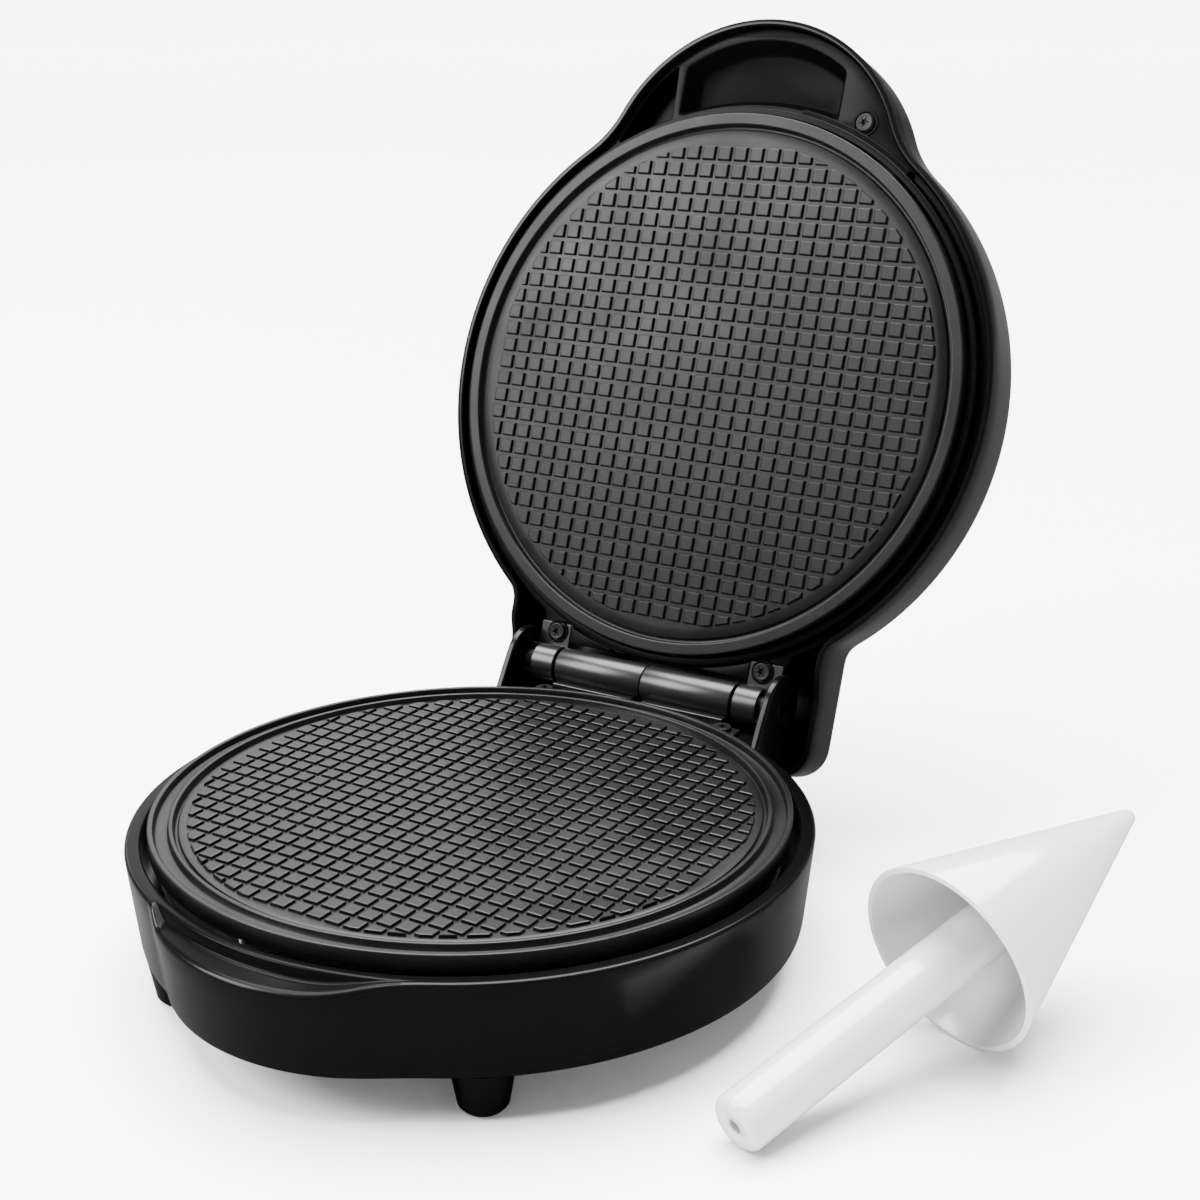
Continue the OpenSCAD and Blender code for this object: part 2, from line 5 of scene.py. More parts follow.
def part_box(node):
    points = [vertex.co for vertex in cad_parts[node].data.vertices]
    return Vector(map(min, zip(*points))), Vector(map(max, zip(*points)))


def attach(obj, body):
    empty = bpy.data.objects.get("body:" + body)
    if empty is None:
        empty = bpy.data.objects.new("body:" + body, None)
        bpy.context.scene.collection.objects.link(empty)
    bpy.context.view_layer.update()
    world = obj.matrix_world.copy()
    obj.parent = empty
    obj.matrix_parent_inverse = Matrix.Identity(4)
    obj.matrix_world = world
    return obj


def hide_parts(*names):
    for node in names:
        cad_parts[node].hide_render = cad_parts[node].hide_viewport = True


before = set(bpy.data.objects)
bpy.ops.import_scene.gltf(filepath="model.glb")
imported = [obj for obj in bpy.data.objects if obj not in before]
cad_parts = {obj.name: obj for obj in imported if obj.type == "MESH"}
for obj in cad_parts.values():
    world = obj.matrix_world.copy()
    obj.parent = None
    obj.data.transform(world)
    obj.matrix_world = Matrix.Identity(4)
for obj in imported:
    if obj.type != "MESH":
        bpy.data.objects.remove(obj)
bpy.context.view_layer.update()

# ------------------------------------------------------------------ sizes, mm
RIM, BASE_Z0, BASE_Z1, WALL = 110.0, 15.0, 46.0, 2.4      # base: radius, bottom, top, wall
MOUTH, DRAFT = 105.0, 3.0                                 # base mouth radius, wall draft
HY, HZ, OPEN = 113.0, 54.0, 110.0                         # hinge axis, opening in degrees
LID_Z0, LID_Z1, LID_RR = 56.1, 87.1, 9.0                  # closed lid: mouth, top, edge radius
T_REACH, T_R, T_F = 138.0, 62.0, 40.0                     # tongue: reach, radius, fillet
COWL_X, COWL_Y, COWL_R, COWL_F = 66.0, 137.0, 12.0, 9.0   # hinge cowl: corner, radius, fillet
RIM_TOP, UP_Z = 50.8, 51.3                                # plate faces, lower and upper
LOW_R, UPP_R = 102.7, 101.0                               # plate radii
BAKE, PITCH, GAP, FLOOR = 90.5, 6.6, 1.6, -1.4            # gridded field
STUD_TOP, PLATE_UNDER = -0.4, -6.3
EAR_X, EAR_T, EAR_R = 52.45, 3.0, 13.0
LINER_Z, TRIM = 59.5, 101.6                               # liner face, trim ring radius
TAB_Z = LINER_Z - 2.4                                     # liner beside the hinge
FOOT, FOOT_AT = 97.0, (-126, -54, 62, 118)
BORE_R, BARREL_R, BARREL = 2.55, 7.0, (0.15, 36.95)
K0, K1, NOTCH = 38.15, 51.65, 4.0                         # knuckle ends, notch length
STRIP_T, SCREW_Y, LID_SCREW_X, BASE_SCREW_X = 1.6, 100.6, 43.8, 37.8
GRIP_SCREW = (44, -101)
GRIP_R, GRIP_OUT = 69.0, 7.0
POCKET_X, POCKET_Y0, POCKET_Y1, POCKET_D = 33.0, 106.4, 131.0, 7.6
SIDE_X, SIDE_D = 35.6, 8.0
CONE_R, CONE_L, CONE_W, HAND_R, HAND_L = 30.7, 88.5, 1.9, 8.7, 86.0
ROLL_AT, ROLL_TURN = (156.0, 15.7), 70.0                  # roller's place and direction

# The hinge pin's box gives the shift between these sizes and the frame.
_lo, _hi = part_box("hinge_pin")
_mid = (Vector(_lo) + Vector(_hi)) / 2 * 1000
SHIFT = Matrix.Translation(Vector((_mid.x, _mid.y - HY, _mid.z - HZ)))
MM = Matrix.Scale(0.001, 4)
TO_OPEN = (Matrix.Translation((0, HY, HZ)) @ Matrix.Rotation(math.radians(-OPEN), 4, "X")
           @ Matrix.Translation((0, -HY, -HZ)))
BASE_M = MM @ SHIFT
LID_M = MM @ SHIFT @ TO_OPEN
cos, sin, pi = math.cos, math.sin, math.pi


# ------------------------------------------------------------------ materials
def material(name, color, rough, bump=0.02, scale=900.0, metallic=0.0, coat=0.0, vary=0.12,
             rough_vary=0.08, smudge=28.0, spec=0.5, sss=0.0):
    """Colour and roughness drift with a wide noise (smudge), the surface with a fine one (scale)."""
    m = bpy.data.materials.new(name)
    m.use_nodes = True
    nt = m.node_tree
    nt.nodes.clear()
    out = nt.nodes.new("ShaderNodeOutputMaterial")
    p = nt.nodes.new("ShaderNodeBsdfPrincipled")
    nt.links.new(p.outputs[0], out.inputs[0])
    tc = nt.nodes.new("ShaderNodeTexCoord")

    def noise(s, d):
        n = nt.nodes.new("ShaderNodeTexNoise")
        n.inputs["Scale"].default_value = s
        n.inputs["Detail"].default_value = d
        nt.links.new(tc.outputs["Object"], n.inputs["Vector"])
        return n
    big = noise(smudge, 4.0)
    fine = noise(scale, 3.0)
    ramp = nt.nodes.new("ShaderNodeValToRGB")
    lo = [c * (1 - vary) for c in color]
    hi = [min(1, c * (1 + vary)) for c in color]
    ramp.color_ramp.elements[0].position = 0.3
    ramp.color_ramp.elements[1].position = 0.7
    ramp.color_ramp.elements[0].color = (*lo, 1)
    ramp.color_ramp.elements[1].color = (*hi, 1)
    nt.links.new(big.outputs["Fac"], ramp.inputs["Fac"])
    nt.links.new(ramp.outputs["Color"], p.inputs["Base Color"])
    mr = nt.nodes.new("ShaderNodeMapRange")
    mr.inputs["From Min"].default_value = 0.3
    mr.inputs["From Max"].default_value = 0.7
    mr.inputs["To Min"].default_value = max(0.02, rough - rough_vary)
    mr.inputs["To Max"].default_value = min(1, rough + rough_vary)
    nt.links.new(big.outputs["Fac"], mr.inputs["Value"])
    nt.links.new(mr.outputs["Result"], p.inputs["Roughness"])
    b = nt.nodes.new("ShaderNodeBump")
    b.inputs["Strength"].default_value = bump
    b.inputs["Distance"].default_value = 0.0002
    nt.links.new(fine.outputs["Fac"], b.inputs["Height"])
    nt.links.new(b.outputs["Normal"], p.inputs["Normal"])
    p.inputs["Metallic"].default_value = metallic
    p.inputs["Coat Weight"].default_value = coat
    p.inputs["Coat Roughness"].default_value = 0.08
    p.inputs["Specular IOR Level"].default_value = spec
    if sss:
        p.inputs["Subsurface Weight"].default_value = sss
        p.inputs["Subsurface Radius"].default_value = (0.006, 0.006, 0.006)
        p.inputs["Subsurface Scale"].default_value = 0.4
    return m


M_SHELL = material("shell_gloss_black", (0.0012, 0.0012, 0.0013), 0.22, bump=0.05, scale=1400,
                   smudge=16, rough_vary=0.04, spec=0.09)
# A copy of the shell with weaker reflections: painted shade for the rim's top and the grip's lip.
M_BROW_SHADED = material("shell_brow_painted_shade", (0.0012, 0.0012, 0.0013), 0.2, bump=0.05, scale=1400,
                  smudge=16, rough_vary=0.03, spec=0.025)
# A rougher copy of the liner with weaker reflections: painted shade that darkens the sunk pocket.
M_POCKET_SHADED = material("pocket_matt_painted_shade", (0.0010, 0.0010, 0.0011), 0.42, bump=0.12, scale=1800,
                    smudge=20, rough_vary=0.03, spec=0.02)
M_LINER = material("liner_satin_black", (0.0010, 0.0010, 0.0011), 0.34, bump=0.12, scale=1800,
                   smudge=20, rough_vary=0.05, spec=0.035)
M_PLATE = material("nonstick_grey", (0.0028, 0.0028, 0.0031), 0.36, bump=0.22, scale=1500,
                   metallic=0.1, smudge=34, vary=0.22, rough_vary=0.07, spec=0.135)
M_HINGE = material("hinge_black", (0.004, 0.004, 0.0042), 0.30, bump=0.04, scale=1600, smudge=30,
                   rough_vary=0.015, spec=0.3)
M_SCREW = material("screw_black", (0.006, 0.006, 0.0065), 0.34, bump=0.1, scale=1200,
                   smudge=120, spec=0.1)
M_RUBBER = material("foot_rubber", (0.003, 0.003, 0.003), 0.5, bump=0.2, scale=2200, smudge=60,
                    spec=0.2)
M_STEEL = material("zinc_steel", (0.55, 0.55, 0.56), 0.34, bump=0.1, scale=900, metallic=1.0,
                   smudge=60, vary=0.1)
M_ALU = material("thermostat_alu", (0.6, 0.58, 0.52), 0.4, bump=0.1, scale=900, metallic=0.9)
M_CREAM = material("terminal_cream", (0.72, 0.7, 0.64), 0.5, bump=0.1, scale=1200, vary=0.04)
M_WHITE = material("roller_white", (0.43, 0.43, 0.436), 0.2, bump=0.02, scale=900, vary=0.02,
                   smudge=12, rough_vary=0.04, sss=0.05, coat=0.4)
# Grey-beige for the handle's end hole: painted shade for the hole's depth, not the plastic's colour.
M_BORE_SHADE = material("bore_painted_shade_grey", (0.3, 0.28, 0.25), 0.5, bump=0.1, scale=900, vary=0.06,
                  smudge=40)


# ------------------------------------------------------------------ mesh tools
def arc(cx, cy, r, a0, a1, n):
    return [(cx + r * cos(math.radians(a0 + (a1 - a0) * i / n)),
             cy + r * sin(math.radians(a0 + (a1 - a0) * i / n))) for i in range(n + 1)]


def add(name, verts, faces, mat, body, slot, m=BASE_M, bevel=0.0, angle=35, replaces=(),
        segments=2):
    """Makes a piece from points in mm, welds it, and hands it to its body; the slot argument is not
    used.
    """
    me = bpy.data.meshes.new(name)
    me.from_pydata([tuple(m @ Vector(v)) for v in verts], [], faces)
    bm = bmesh.new()
    bm.from_mesh(me)
    bmesh.ops.remove_doubles(bm, verts=bm.verts, dist=1e-7)
    bmesh.ops.dissolve_degenerate(bm, dist=1e-8, edges=bm.edges)
    bmesh.ops.recalc_face_normals(bm, faces=bm.faces)
    bm.to_mesh(me)
    bm.free()
    me.polygons.foreach_set("use_smooth", [True] * len(me.polygons))
    me.set_sharp_from_angle(angle=math.radians(angle))
    me.materials.append(mat)
    o = bpy.data.objects.new(name, me)
    bpy.context.scene.collection.objects.link(o)
    if bevel:
        b = o.modifiers.new("edge", "BEVEL")
        b.width = bevel * 0.001
        b.segments = segments
        b.limit_method = "ANGLE"
        b.angle_limit = math.radians(40)
        b.harden_normals = True
    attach(o, body)
    if replaces:
        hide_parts(*replaces)
    return o


def lathe(profile, seg=192, closed=False, a0=0.0, a1=360.0):
    """Turns (r, z) points about Z, from a0 to a1 degrees."""
    full = abs(a1 - a0 - 360) < 1e-6
    n = seg if full else seg + 1
    verts, faces = [], []
    for i in range(n):
        a = math.radians(a0 + (a1 - a0) * i / seg)
        verts += [(r * cos(a), r * sin(a), z) for r, z in profile]
    k = len(profile)
    rows = k if closed else k - 1
    for i in range(seg):
        j = (i + 1) % n
        for p in range(rows):
            q = (p + 1) % k
            faces.append((i * k + p, j * k + p, j * k + q, i * k + q))
    if not full and closed:
        faces.append(tuple(range(k)))
        faces.append(tuple(reversed(range((n - 1) * k, n * k))))
    return verts, faces


def join(*parts):
    verts, faces = [], []
    for v, f in parts:
        o = len(verts)
        verts += v
        faces += [tuple(i + o for i in g) for g in f]
    return verts, faces


def moved(part, m):
    return [tuple(m @ Vector(v)) for v in part[0]], part[1]


def prism(outline, z0, z1):
    n = len(outline)
    v = [(x, y, z0) for x, y in outline] + [(x, y, z1) for x, y in outline]
    f = [(i, (i + 1) % n, (i + 1) % n + n, i + n) for i in range(n)]
    return v, f + [tuple(reversed(range(n))), tuple(range(n, 2 * n))]


def box(x0, x1, y0, y1, z0, z1):
    return prism([(x0, y0), (x1, y0), (x1, y1), (x0, y1)], z0, z1)


def panel(name, loops, z0, z1, mat, body, slot, m, edge=0.25, replaces=(), angle=35):
    """A flat plate with holes and rounded edges, from closed loops of points."""
    cu = bpy.data.curves.new(name + "_c", "CURVE")
    cu.dimensions = "2D"
    cu.fill_mode = "BOTH"
    for pts in loops:
        s = cu.splines.new("POLY")
        s.points.add(len(pts) - 1)
        for p, (x, y) in zip(s.points, pts):
            p.co = (x, y, 0, 1)
        s.use_cyclic_u = True
    cu.extrude = max(0.01, (z1 - z0) / 2 - edge)
    cu.bevel_depth = edge
    cu.bevel_resolution = 2
    cu.offset = -edge
    o = bpy.data.objects.new(name + "_c", cu)
    bpy.context.scene.collection.objects.link(o)
    dg = bpy.context.evaluated_depsgraph_get()
    me = bpy.data.meshes.new_from_object(o.evaluated_get(dg))
    verts = [(v.co.x, v.co.y, v.co.z + (z0 + z1) / 2) for v in me.vertices]
    faces = [tuple(p.vertices) for p in me.polygons]
    bpy.data.objects.remove(o)
    bpy.data.curves.remove(cu)
    bpy.data.meshes.remove(me)
    return add(name, verts, faces, mat, body, slot, m=m, angle=angle, replaces=replaces)


def about_x(x0):
    """Places a Z-axis solid so that its axis is the hinge axis, starting at x0."""
    return Matrix.Translation((x0, HY, HZ)) @ Matrix.Rotation(pi / 2, 4, "Y")


def ring(r, n):
    return [(r * cos(2 * pi * i / n), r * sin(2 * pi * i / n)) for i in range(n)]


def mirror(part):
    return [(-x, y, z) for x, y, z in part[0]], [tuple(reversed(f)) for f in part[1]]


# ------------------------------------------------------------------ base body
GRIP_C = RIM + GRIP_OUT - GRIP_R
LIP_DROP, LIP_SHORT, LIP_LONG = 4.2, 2.6, 6.6             # dip of the grip's lip, and its run-ins
NOTCH_AT, NOTCH_SPAN = 1.5 * pi - math.radians(24), 0.07  # crease left of the grip


def smooth_max(a, b, k):
    h = max(0.0, min(1.0, 0.5 + 0.5 * (a - b) / k))
    return b + (a - b) * h + k * h * (1 - h)


def smoothstep(t):
    t = max(0.0, min(1.0, t))
    return t * t * (3 - 2 * t)


def grip_radius(a, rim, drop):
    """Outer radius in direction a (0 = +X) of the rim with its front grip."""
    f = a + pi / 2                                    # angle from -Y
    f = (f + pi) % (2 * pi) - pi
    if abs(f) > 1.0:
        return rim
    r = GRIP_R - drop
    g = GRIP_C * cos(f) + math.sqrt(r * r - (GRIP_C * sin(f)) ** 2)
    return smooth_max(rim, g, 0.8 if f < 0 else 3.2)


def base_body():
    """Wall, mouth and dipped grip lip as one swept section, finer round the notch."""
    turn = [2 * pi * i / 480 for i in range(480)]
    turn = sorted([t for t in turn if abs(t - NOTCH_AT) > NOTCH_SPAN]
                  + [NOTCH_AT + NOTCH_SPAN * i / 36 for i in range(-36, 37)])
    n = len(turn)
    verts, faces = [], []
    for a in turn:
        top = grip_radius(a, RIM, 0.0)
        low = grip_radius(a, RIM - DRAFT, DRAFT)
        e = 1.3 + 0.8 * min(1.0, (top - RIM) / 3.0)
        left = pi < a < 1.5 * pi
        dip = LIP_DROP * smoothstep((top - RIM) / (LIP_SHORT if left else LIP_LONG))
        brow = RIM - 1.9
        prof = [(MOUTH, BASE_Z1 - 9.0), (MOUTH, BASE_Z1 - 0.8)]
        prof += [(MOUTH + 0.8 - 0.8 * cos(t), BASE_Z1 - 0.8 + 0.8 * sin(t))
                 for t in (pi / 8, pi / 4, 3 * pi / 8, pi / 2)]
        lip = BASE_Z1 - dip
        prof += [(brow - 0.7, BASE_Z1), (brow - 0.2, BASE_Z1 - 0.03 * dip)]
        reach = top - e - brow
        prof += [(brow + min(u, u * reach / 2.6), BASE_Z1 - dip * v)
                 for u, v in ((0.25, 0.14), (0.6, 0.5), (0.95, 0.8), (1.4, 0.89), (2.1, 0.92))]
        prof += [(top - e + e * sin(t), lip - e + e * cos(t))
                 for t in [pi / 2 * k / 6 for k in range(7)]]
        for s in (0.25, 0.5, 0.75, 0.94):
            prof.append((top + (low - top) * s, lip - e - (lip - e - BASE_Z0) * s))
        prof += [(low - 0.12, BASE_Z0 + 0.35), (low - 0.6, BASE_Z0), (RIM - DRAFT - WALL, BASE_Z0),
                 (RIM - DRAFT - WALL, BASE_Z1 - 11.4), (88.0, BASE_Z1 - 11.4), (88.0, BASE_Z1 - 9.0)]
        k = len(prof)
        verts += [(r * cos(a), r * sin(a), z) for r, z in prof]
    for i in range(n):
        j = (i + 1) % n
        for p in range(k):
            q = (p + 1) % k
            faces.append((i * k + p, j * k + p, j * k + q, i * k + q))
    return verts, faces


shell = add("base_body", *base_body(), M_SHELL, "base", "shell_plastic", replaces=["base_shell"],
            angle=52)
# The flat top of the rim and the grip's lip get a copy of the shell plastic with weaker reflections:
# painted shade that darkens them, though the plastic is the same.
shell.data.materials.append(M_BROW_SHADED)
for face in shell.data.polygons:
    spot = BASE_M.inverted() @ face.center
    edge = grip_radius(math.atan2(spot.y, spot.x) % (2 * pi), RIM, 0.0)
    if spot.z > BASE_Z1 - 6.0 and MOUTH + 0.4 < math.hypot(spot.x, spot.y) < edge - 0.9:
        face.material_index = 1

# hinge deck and the two ears
deck = [(-EAR_X - 0.2, 92.0)] + [(x, math.sqrt(MOUTH ** 2 - x * x) + 0.02)
                                 for x in range(-52, 53, 2)] + [(EAR_X + 0.2, 92.0)]
deck += [(EAR_X + 0.2, 106.0), (-EAR_X - 0.2, 106.0)]
add("base_deck", *prism(deck, 29.0, BASE_Z1), M_SHELL, "base", "shell_plastic", bevel=0.4)


def ear(x0):
    """Side wall beside a knuckle: round over the hinge, running down into the base."""
    pts = [(92.0, 29.0), (108.0, 29.0)]
    pts += [(HY + EAR_R * cos(math.radians(t)), HZ + EAR_R * sin(math.radians(t)))
            for t in range(-34, 150, 6)]
    pts += [(97.5, 54.2), (94.0, 48.5), (92.0, BASE_Z1)]
    v, f = prism(pts, 0, EAR_T)
    return [(x0 + z, x, y) for x, y, z in v], f


for sx, tag in ((1, "right"), (-1, "left")):
    e = ear(EAR_X)
    add("base_ear_" + tag, *(e if sx > 0 else mirror(e)), M_SHELL, "base", "shell_plastic",
        bevel=0.9, segments=3)

# feet
foot = [(0.0, 0.0), (5.6, 0.0)] + arc(6.0, 1.6, 1.6, -90, 0, 5)
foot += [(7.9, 3.4), (9.8, BASE_Z0), (0.0, BASE_Z0)]
foot = [(r, z + 1.0 if z < 14 else z) for r, z in foot]    # raised by the pad under it
pad = [(0.0, 0.0), (5.2, 0.0), (6.3, 0.5), (6.9, 1.4), (6.6, 2.2), (0.0, 2.2)]
for i, a in enumerate(FOOT_AT):
    t = Matrix.Translation((FOOT * cos(math.radians(a)), FOOT * sin(math.radians(a)), 0))
    add("foot_%d" % i, *moved(lathe(foot, 64), t), M_SHELL, "base", "shell_plastic",
        replaces=["feet"] if i == 0 else ())
    add("pad_%d" % i, *moved(lathe(pad, 64), t), M_RUBBER, "base", "foot_rubber",
        replaces=["foot_pads"] if i == 0 else ())


# ------------------------------------------------------------------ plates
def clip_circle(poly, r):
    """Clips a convex polygon to a circle, with arc points along the cut."""
    out = []
    n = len(poly)
    inside = [math.hypot(*p) <= r for p in poly]
    if all(inside):
        return poly
    for i in range(n):
        p, q = poly[i], poly[(i + 1) % n]
        if inside[i]:
            out.append(p)
        dx, dy = q[0] - p[0], q[1] - p[1]
        A, B, C = dx * dx + dy * dy, 2 * (p[0] * dx + p[1] * dy), p[0] ** 2 + p[1] ** 2 - r * r
        D = B * B - 4 * A * C
        if D > 0:
            for t in sorted(((-B - math.sqrt(D)) / 2 / A, (-B + math.sqrt(D)) / 2 / A)):
                if 1e-6 < t < 1 - 1e-6:
                    out.append((p[0] + dx * t, p[1] + dy * t))
    return out


def shrink(poly, d):
    """Insets a convex counter-clockwise polygon by d."""
    n = len(poly)
    res = []
    for i in range(n):
        p0, p1, p2 = poly[i - 1], poly[i], poly[(i + 1) % n]
        e1 = Vector((p1[0] - p0[0], p1[1] - p0[1])).normalized()
        e2 = Vector((p2[0] - p1[0], p2[1] - p1[1])).normalized()
        n1, n2 = Vector((-e1.y, e1.x)), Vector((-e2.y, e2.x))
        b = (n1 + n2)
        if b.length < 1e-6:
            b = n1
        b = b.normalized()
        k = d / max(0.45, b.dot(n1))
        res.append((p1[0] + b.x * k, p1[1] + b.y * k))
    return res


def area(poly):
    return 0.5 * sum(poly[i - 1][0] * poly[i][1] - poly[i][0] * poly[i - 1][1]
                     for i in range(len(poly)))


def studs(z, h):
    """The clipped field of raised squares, standing on z, h high."""
    n = int(math.ceil(BAKE / PITCH))
    s = (PITCH - GAP) / 2
    verts, faces = [], []
    for i in range(-n, n + 1):
        for j in range(-n, n + 1):
            x, y = i * PITCH, j * PITCH
            if math.hypot(max(abs(x) - s, 0), max(abs(y) - s, 0)) > BAKE - 1:
                continue
            sq = [(x - s, y - s), (x + s, y - s), (x + s, y + s), (x - s, y + s)]
            poly = clip_circle(sq, BAKE)
            poly = [p for k, p in enumerate(poly)
                    if math.hypot(p[0] - poly[k - 1][0], p[1] - poly[k - 1][1]) > 0.25]
            if len(poly) < 3 or area(poly) < 1.4:
                continue
            small = area(poly) < 8
            rings = [(shrink(poly, -0.1), z - 0.02), (shrink(poly, 0.0), z + h - 0.26),
                     (shrink(poly, 0.06), z + h - 0.14),
                     (shrink(poly, 0.2 if small else 0.38), z + h)]
            o, k = len(verts), len(poly)
            for pts, zz in rings:
                verts += [(px, py, zz) for px, py in pts]
            for r in range(3):
                for q in range(k):
                    q2 = (q + 1) % k
                    faces.append((o + r * k + q, o + r * k + q2, o + (r + 1) * k + q2,
                                  o + (r + 1) * k + q))
            faces.append(tuple(o + 3 * k + q for q in range(k)))
    return verts, faces


def plate_profile(r, ridged):
    """Half section of a casting: the lower one has a trough and a ridge, the upper a groove."""
    p = [(0.0, PLATE_UNDER), (r - 0.7, PLATE_UNDER), (r, PLATE_UNDER + 0.7), (r, -0.5)]
    p += arc(r - 0.5, -0.5, 0.5, 0, 90, 4) + [(r - 0.7, 0.0)]
    if ridged:
        c = (LOW_R + BAKE) / 2 - 1.1
        p += [(r - 1.35, 0.0), (r - 1.5, 0.0), (r - 1.75, -0.1), (r - 1.95, -0.5),
              (r - 2.2, -2.2), (r - 2.6, -2.4)]
        p += [(c + 1.3, -2.4), (c + 1.0, -2.2), (c + 0.75, -0.5), (c + 0.6, -0.22), (c + 0.35, -0.12),
              (c - 0.45, -0.12), (c - 0.7, -0.22), (c - 0.85, -0.5), (c - 1.1, -2.4),
              (c - 1.3, -2.6), (c - 2.1, -2.6), (c - 2.3, -2.4), (c - 2.5, FLOOR - 0.1),
              (c - 2.7, FLOOR)]
    else:
        p += [(r - 3.7, 0.0), (r - 3.9, 0.0), (r - 4.15, -0.1), (r - 4.35, -0.4),
              (r - 4.5, -2.3), (r - 4.7, -2.5), (r - 5.8, -2.5), (r - 6.0, -2.3),
              (r - 6.15, FLOOR - 0.1), (r - 6.35, FLOOR)]
    return p + [(BAKE + 0.3, FLOOR), (60.0, FLOOR), (0.0, FLOOR)]


level = Matrix.Translation((0, 0, RIM_TOP))
flip = Matrix.Translation((0, 0, UP_Z)) @ Matrix.Scale(-1, 4, (0, 0, 1))
grid = studs(FLOOR, STUD_TOP - FLOOR)
for side, r, place, body, m in (("lower", LOW_R, level, "base", BASE_M),
                                ("upper", UPP_R, flip, "lid", LID_M)):
    add(side + "_plate_casting", *moved(lathe(plate_profile(r, side == "lower"), 256), place), M_PLATE,
        body, "nonstick_coating", m=m, replaces=[side + "_plate"], angle=50)
    add(side + "_plate_grid", *moved(grid, place), M_PLATE, body, "nonstick_coating", m=m, angle=1)


# ------------------------------------------------------------------ lid outline
def fillet_centre(ra, rb, d, f):
    """Centre of a fillet f between circles ra and rb whose centres are d apart along -Y."""
    a, b = ra + f, rb + f
    c = (a * a + d * d - b * b) / (2 * a * d)
    return a * math.sqrt(1 - c * c), -a * c


FX, FY = fillet_centre(RIM, T_R, T_REACH - T_R, T_F)
TY = -(T_REACH - T_R)


def half_outline(cowl=True, step=2.0):
    """Right half of the lid's outline, tongue tip to back, as (x, y, nx, ny)."""
    pts = []

    def run(cx, cy, r, a0, a1, sign):
        n = max(2, int(abs(math.radians(a1 - a0)) * r / step))
        for i in range(n):
            a = math.radians(a0 + (a1 - a0) * i / n)
            pts.append((cx + r * cos(a), cy + r * sin(a), sign * cos(a), sign * sin(a)))
    a1 = math.degrees(math.atan2(FY - TY, FX))
    run(0, TY, T_R, -90, a1, 1)
    b0 = a1 + 180
    b1 = math.degrees(math.atan2(-FY, -FX)) % 360
    run(FX, FY, T_F, b0, b1, -1)
    c0 = math.degrees(math.atan2(FY, FX))
    if not cowl:
        run(0, 0, RIM, c0, 90, 1)
        return pts
    gx = COWL_X + COWL_F
    gy = math.sqrt((RIM + COWL_F) ** 2 - gx * gx)
    c1 = math.degrees(math.atan2(gy, gx))
    run(0, 0, RIM, c0, c1, 1)
    run(gx, gy, COWL_F, c1 + 180, 180, -1)
    n = int((COWL_Y - COWL_R - gy) / step)
    for i in range(n):
        pts.append((COWL_X, gy + (COWL_Y - COWL_R - gy) * i / n, 1.0, 0.0))
    run(COWL_X - COWL_R, COWL_Y - COWL_R, COWL_R, 0, 90, 1)
    n = int((COWL_X - COWL_R) / step)
    for i in range(n):
        pts.append(((COWL_X - COWL_R) * (1 - i / n), COWL_Y, 0.0, 1.0))
    return pts


def whole(half):
    left = [(-x, y, -nx, ny) for x, y, nx, ny in reversed(half[1:])]
    return half + left


def inset(pts, d):
    return [(x - nx * d, y - ny * d) for x, y, nx, ny in pts]


def lid_shell():
    """Outer and inner skin from insets of the outline, the top slightly domed."""
    out = whole(half_outline())
    n = len(out)
    verts, faces = [], []

    def rim_z(y):
        return LID_Z0 + 3.9 * smoothstep((y - 96.0) / 12.0)
    levels = []
    zt, rr = LID_Z1, LID_RR
    for d, dz in ((WALL, 6.0), (WALL, 0.5), (WALL - 0.5, 0.0), (0.55, 0.0), (0.15, 0.18), (0.0, 0.6)):
        levels.append([(x, y, rim_z(y) + dz) for x, y in inset(out, d)])
    levels.append([(x, y, LID_Z0 + 9.0) for x, y in inset(out, 0)])
    levels.append([(x, y, zt - rr - 1.6) for x, y in inset(out, 0)])
    for k in range(1, 12):
        t = math.radians(90 * k / 12)
        levels.append([(x, y, zt - 1.6 - rr + rr * sin(t))
                       for x, y in inset(out, (rr - 0.6) * (1 - cos(t)))])
    edge = inset(out, rr - 0.6)
    for s, rise in ((1.0, 0.0), (0.86, 0.55), (0.7, 0.95), (0.5, 1.3), (0.25, 1.55), (0.0, 1.6)):
        levels.append([(x * s, y * s, zt - 1.6 + rise) for x, y in edge])
    # inside skin
    inner = [[(x, y, zt - rr) for x, y in inset(out, WALL)]]
    for k in range(1, 7):
        t = math.radians(90 * k / 6)
        r2 = rr - WALL
        inner.append([(x, y, zt - WALL - 1.6 - r2 + r2 * sin(t))
                      for x, y in inset(out, WALL + (r2 - 0.6) * (1 - cos(t)))])
    inner.append([(x * 0.5, y * 0.5, zt - WALL - 1.0) for x, y in edge])
    inner.append([(0, 0, zt - WALL - 0.6) for x, y in edge])
    rows = list(reversed(inner)) + levels
    for row in rows:
        verts += row
    for r in range(len(rows) - 1):
        for i in range(n):
            j = (i + 1) % n
            faces.append((r * n + i, r * n + j, (r + 1) * n + j, (r + 1) * n + i))
    return verts, faces


add("lid_outer_shell", *lid_shell(), M_SHELL, "lid", "shell_plastic", m=LID_M,
    replaces=["lid_shell"], angle=40)

# ------------------------------------------------------------------ lid liner
def outline_plain(d):
    """The lid's outline without the cowl, inset by d."""
    return inset(whole(half_outline(cowl=False)), d)


